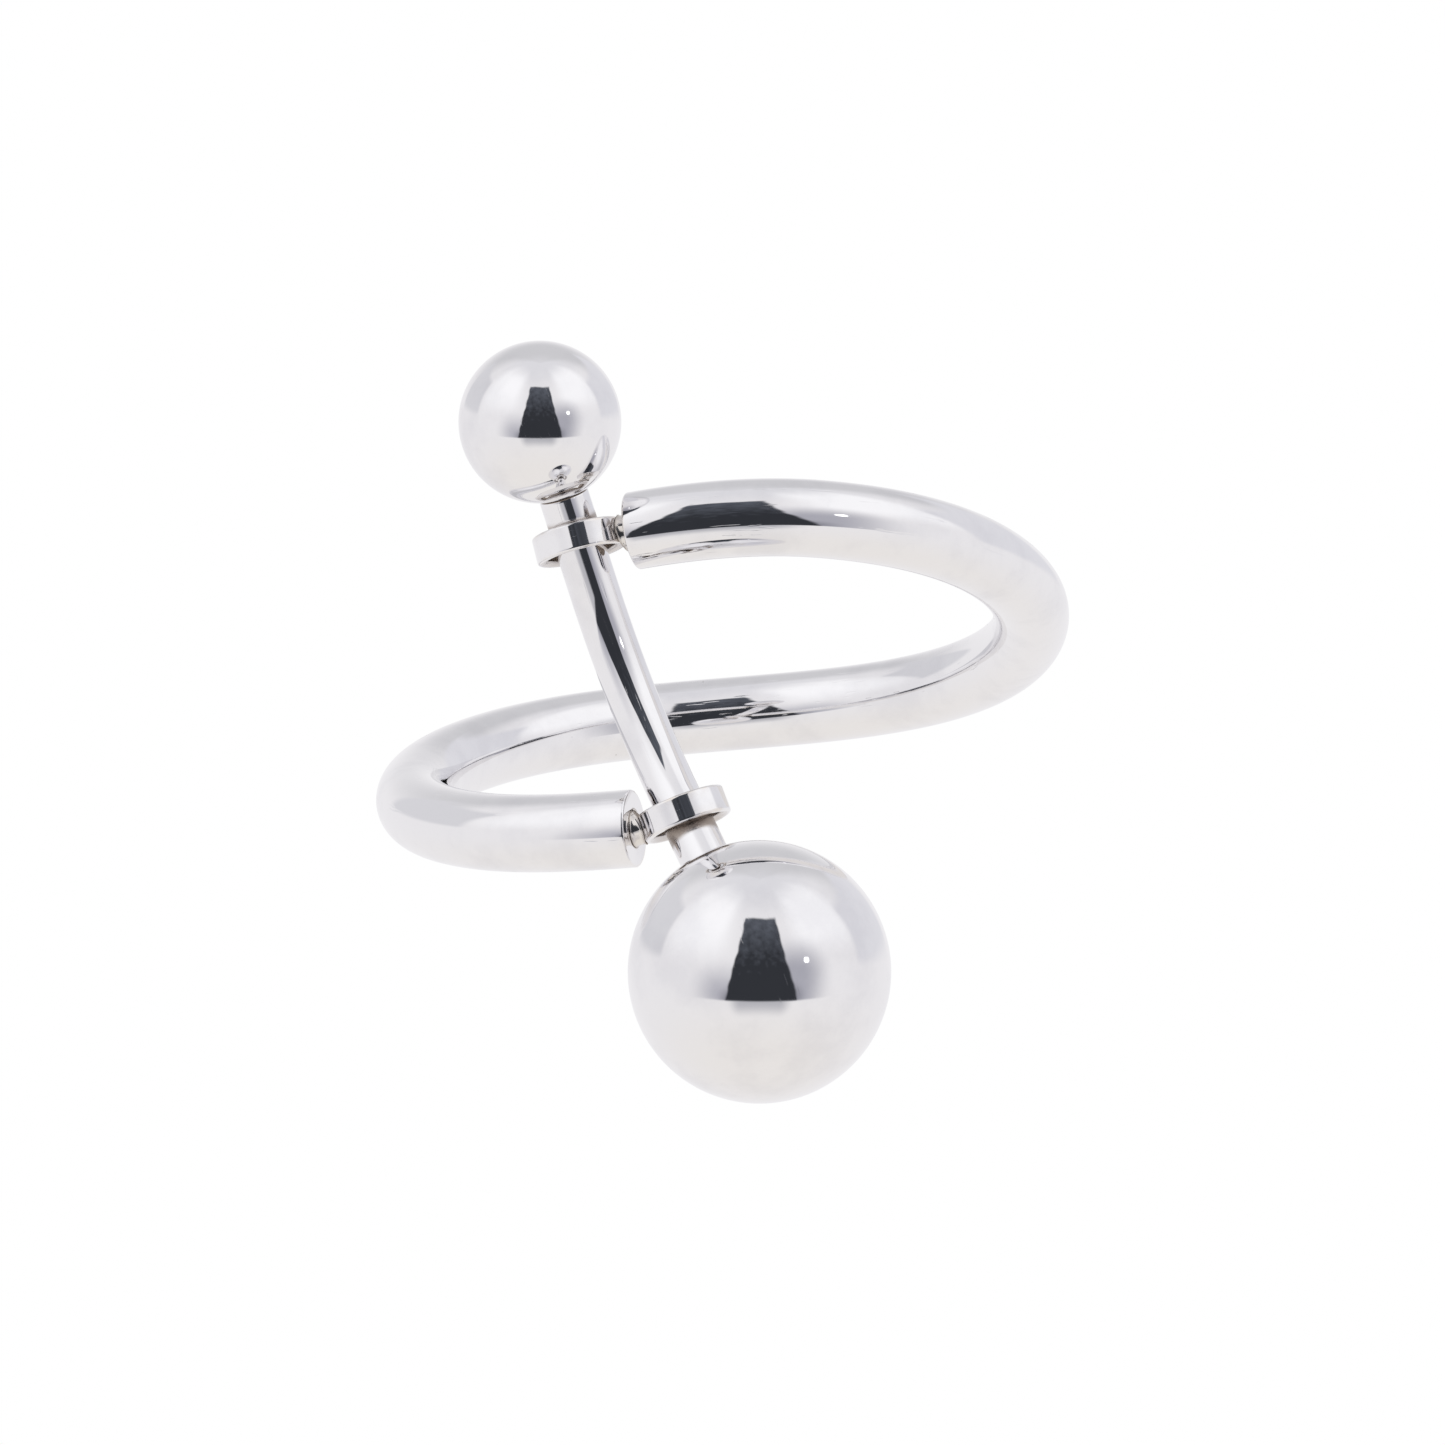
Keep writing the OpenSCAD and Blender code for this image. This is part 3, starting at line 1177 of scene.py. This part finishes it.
@dataclass
class Studio:
    """Light tent with a dark card at its front, a pale floor and the camera.

    Attributes:
        azimuth: turn of the tent's front to the right of the ring's front, in degrees.
        elevation: height of the camera over the ring's level, in degrees.
        roll: turn of the picture, in degrees.
        distance: distance of the camera from the ring's middle.
        target_z: height at which the camera aims.
        lens: focal length in millimetres.
        sensor: width of the sensor in millimetres.
        shift: shift of the picture.
        card: the dark card.
        tent: colour of the tent's cloth.
        gain: brightness of the tent, set so that plated metal mirrors its colours.
        table_dip: how much the edge of the white table dips towards the front.
        table_edge: how far up a direction points where the table's soft edge begins and ends.
        floor_r: radius of the floor.
        floor_fade: distances from its middle at which the floor starts to fade and is gone.
        floor_drop: room under the large ball for the bar to slide down.
        floor_glow: brightness of the light that comes through the floor's paper from below.
        paper: the paper's two shades.
        grain_mm: size of its grain.
    """

    azimuth: float = 16.0
    elevation: float = -3.793
    roll: float = 2.522
    distance: float = 0.3
    target_z: float = 0.263 * MM
    lens: float = 235.68
    sensor: float = 36.0
    shift: Pair = (0.0004, -0.0241)
    card: DarkCard = DarkCard()
    tent: str = "E6E5E7"
    gain: float = 1.14
    table_dip: float = 0.22
    table_edge: Pair = (-0.23, -0.19)
    floor_r: float = 0.9
    floor_fade: Pair = (0.3, 0.85)
    floor_drop: float = 0.8 * MM
    floor_glow: float = 0.2
    paper: tuple[str, str] = ("F8F8F9", "F4F4F5")
    grain_mm: float = 0.8

    def axes(self) -> tuple[Vector, Vector, Vector]:
        """Find the picture's axes.

        Returns:
            The picture's right, its up and the way back to the camera.
        """
        az, el, roll = (math.radians(a) for a in (self.azimuth, self.elevation, self.roll))
        right = Vector((math.cos(az), math.sin(az), 0))
        back = Vector((math.sin(az) * math.cos(el), -math.cos(az) * math.cos(el), math.sin(el)))
        up = back.cross(right)
        rolled = math.cos(roll) * right - math.sin(roll) * up
        return rolled, math.sin(roll) * right + math.cos(roll) * up, back

    def add_camera(self) -> None:
        """Place the camera."""
        right, up, back = self.axes()
        data = bpy.data.cameras.new("camera")
        data.lens = self.lens
        data.sensor_width = self.sensor
        data.shift_x, data.shift_y = self.shift
        data.clip_start, data.clip_end = 0.01, 20
        camera = bpy.data.objects.new("camera", data)
        turn = Matrix((right, up, back)).transposed().to_4x4()
        stand = Vector((0, 0, self.target_z)) + back * self.distance
        camera.matrix_world = Matrix.Translation(stand) @ turn
        bpy.context.scene.collection.objects.link(camera)
        bpy.context.scene.camera = camera

    def patches(self) -> list[SoftPatch]:
        """List the areas of the tent, each painted over the ones before, and the small lamp."""
        return [
            SoftPatch(0, 90, 400, 8, 44, "DADADE"),
            SoftPatch(180, 55, 34, 10, 36, "C9C9CC"),
            SoftPatch(-63, 41, 18, 12, 26, "F4F4F6"),
            SoftPatch(-53, 45, 8, 5, 16, "F8F8FA"),
            SoftPatch(67, 45, 20, 12, 24, "F6F6F8"),
            SoftPatch(-121, 24.5, 19.5, 12.5, 6, "D2D2D6"),
            SoftPatch(127, 23, 26, 14, 8, "D9D9DE"),
            SoftPatch(0, -90, 400, 15, 75, "E6E3E0"),
            SoftPatch(-32, -22, 3, 4, 34, "B2B2BA", above_table=True),
            SoftPatch(-26, -24, 0, 0, 16, "74747E", above_table=True),
            SoftPatch(33, -9, 4, 12, 33, "A8A8B1", above_table=True),
            SoftPatch(28, -20, 0, 0, 16, "7A7A84", above_table=True),
            SoftPatch(0, -25, 18, 0, 15, "B4B4B9"),
            SoftPatch(42, 11, 0.6, 0.6, 2.2, "FFFFFF", gain=4.0),
        ]

    def add_light(self) -> None:
        """Paint the tent round the ring, and leave plain white behind it for the picture."""
        world = bpy.data.worlds.new("light_tent")
        bpy.context.scene.world = world
        tree = empty_tree(world)
        way = add_node(tree, "TexCoord", {}, "Generated")
        right, up, ahead = (
            add_node(tree, "VectorMath", {0: way, 1: axis}, "Value", operation="DOT_PRODUCT")
            for axis in self.axes()
        )
        turn = add_node(tree, "Math", {0: right, 1: ahead}, operation="ARCTAN2")
        turn = add_node(tree, "Math", {0: turn}, operation="DEGREES")
        height = add_node(tree, "Math", {0: up}, operation="ARCSINE")
        height = add_node(tree, "Math", {0: height}, operation="DEGREES")
        lifted = add_node(tree, "Math", {0: ahead, 1: self.table_dip, 2: up}, operation="MULTIPLY_ADD")
        ramp = {"Value": lifted, "From Min": self.table_edge[0], "From Max": self.table_edge[1]}
        above = add_node(tree, "MapRange", ramp, **SMOOTH)
        layers = [(p.mask(tree, turn, height), p.light(), p.above_table) for p in self.patches()]
        card = self.card.mask(tree, way, turn, height)
        layers.append((card, self.card.cloth(tree, way, height), True))
        colour: Any = linear(self.tent)
        for mask, light, cut_off in layers:
            if cut_off:
                mask = add_node(tree, "Math", {0: mask, 1: above}, operation="MULTIPLY")
            colour = add_node(tree, "Mix", {0: mask, 6: colour, 7: light}, **COLOUR)
        tent = add_node(tree, "Background", {"Color": colour, "Strength": self.gain})
        white = add_node(tree, "Background", {"Color": linear("FFFFFF"), "Strength": 1.0})
        seen = add_node(tree, "LightPath", {}, "Is Camera Ray")
        mixed = add_node(tree, "MixShader", {0: seen, 1: tent, 2: white})
        add_node(tree, "OutputWorld", {"Surface": mixed})

    def add_floor(self) -> None:
        """Lay a round pale floor under the ring that shows from above only, with a faded edge."""
        low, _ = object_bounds()
        middle = (0, 0, low.z - self.floor_drop)
        bpy.ops.mesh.primitive_circle_add(
            vertices=96, radius=self.floor_r, fill_type="NGON", location=middle
        )
        floor = bpy.context.object
        floor.name = "floor"
        floor.data.materials.append(self.matt_white_paper())
        floor.visible_glossy = False
        floor.visible_shadow = False
        floor.visible_transmission = False
        floor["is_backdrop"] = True

    def matt_white_paper(self) -> bpy.types.Material:
        """Build the floor's paper: matt, finely grained, lit a little from below, clear from beneath.

        Returns:
            The new material.
        """
        material = bpy.data.materials.new("matt_white_paper")
        tree = empty_tree(material)
        place = add_node(tree, "TexCoord", {}, "Object")
        fibres = {"Vector": place, "Scale": 1 / (self.grain_mm * MM), "Detail": 3.0}
        grain = add_node(tree, "TexNoise", fibres)
        shades = {0: grain, 6: linear(self.paper[0]), 7: linear(self.paper[1])}
        shade = add_node(tree, "Mix", shades, **COLOUR)
        matt = add_node(tree, "BsdfDiffuse", {"Color": shade, "Roughness": 0.6})
        glow = add_node(tree, "Emission", {"Color": shade, "Strength": self.floor_glow})
        paper = add_node(tree, "AddShader", {0: matt, 1: glow})
        clear = add_node(tree, "BsdfTransparent", {})
        size = add_node(tree, "VectorMath", {0: place}, "Value", operation="LENGTH")
        ramp = {"Value": size, "From Min": self.floor_fade[0], "From Max": self.floor_fade[1]}
        fade = add_node(tree, "MapRange", ramp, **SMOOTH)
        under = add_node(tree, "NewGeometry", {}, "Backfacing")
        gone = add_node(tree, "Math", {0: fade, 1: under}, operation="MAXIMUM")
        mixed = add_node(tree, "MixShader", {0: gone, 1: paper, 2: clear})
        add_node(tree, "OutputMaterial", {"Surface": mixed})
        return material

    def build(self) -> None:
        """Set up the camera, the light and the floor."""
        self.add_camera()
        self.add_light()
        self.add_floor()
        bpy.context.scene.view_settings.view_transform = "Standard"


def main() -> None:
    """Build the ring, the bar with its balls and the studio."""
    logging.basicConfig(level=logging.INFO, format="%(message)s")
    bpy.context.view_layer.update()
    wire = WireLine()
    line = BarLine(Vector((-0.277 * MM, 0.95 * MM - wire.radius, -0.569 * MM)))
    seats = {
        End.UPPER: (5.21, (0, 0.04, 0), (12.5, 1.5)),
        End.LOWER: (-4.11, (0, 0, 0), (19.3, 0.5)),
    }
    eyelets = []
    for end, (reach, slack, tilt) in seats.items():
        centre = line.place(reach * MM).to_translation() + Vector(slack) * MM
        eyelets.append(Eyelet(end, centre, tilt))
    posts = tuple(Post(wire, eyelet) for eyelet in eyelets)
    SpiralBand(wire, posts).build()
    for part in (*posts, *eyelets):
        part.build()
    small = Ball(End.UPPER, line, diameter=5.0 * MM, reach=9.14 * MM, gap=0.04 * MM)
    large = Ball(End.LOWER, line, diameter=8.0 * MM, reach=10.14 * MM, gap=0.01 * MM)
    Bar(line, small, large).build()
    small.build(TUMBLED_SMALL_BALL, Body.SMALL_BALL, "small_ball")
    large.build(TUMBLED_LARGE_BALL, Body.BAR, "large_ball")
    Studio().build()


if __name__ == "__main__":
    main()
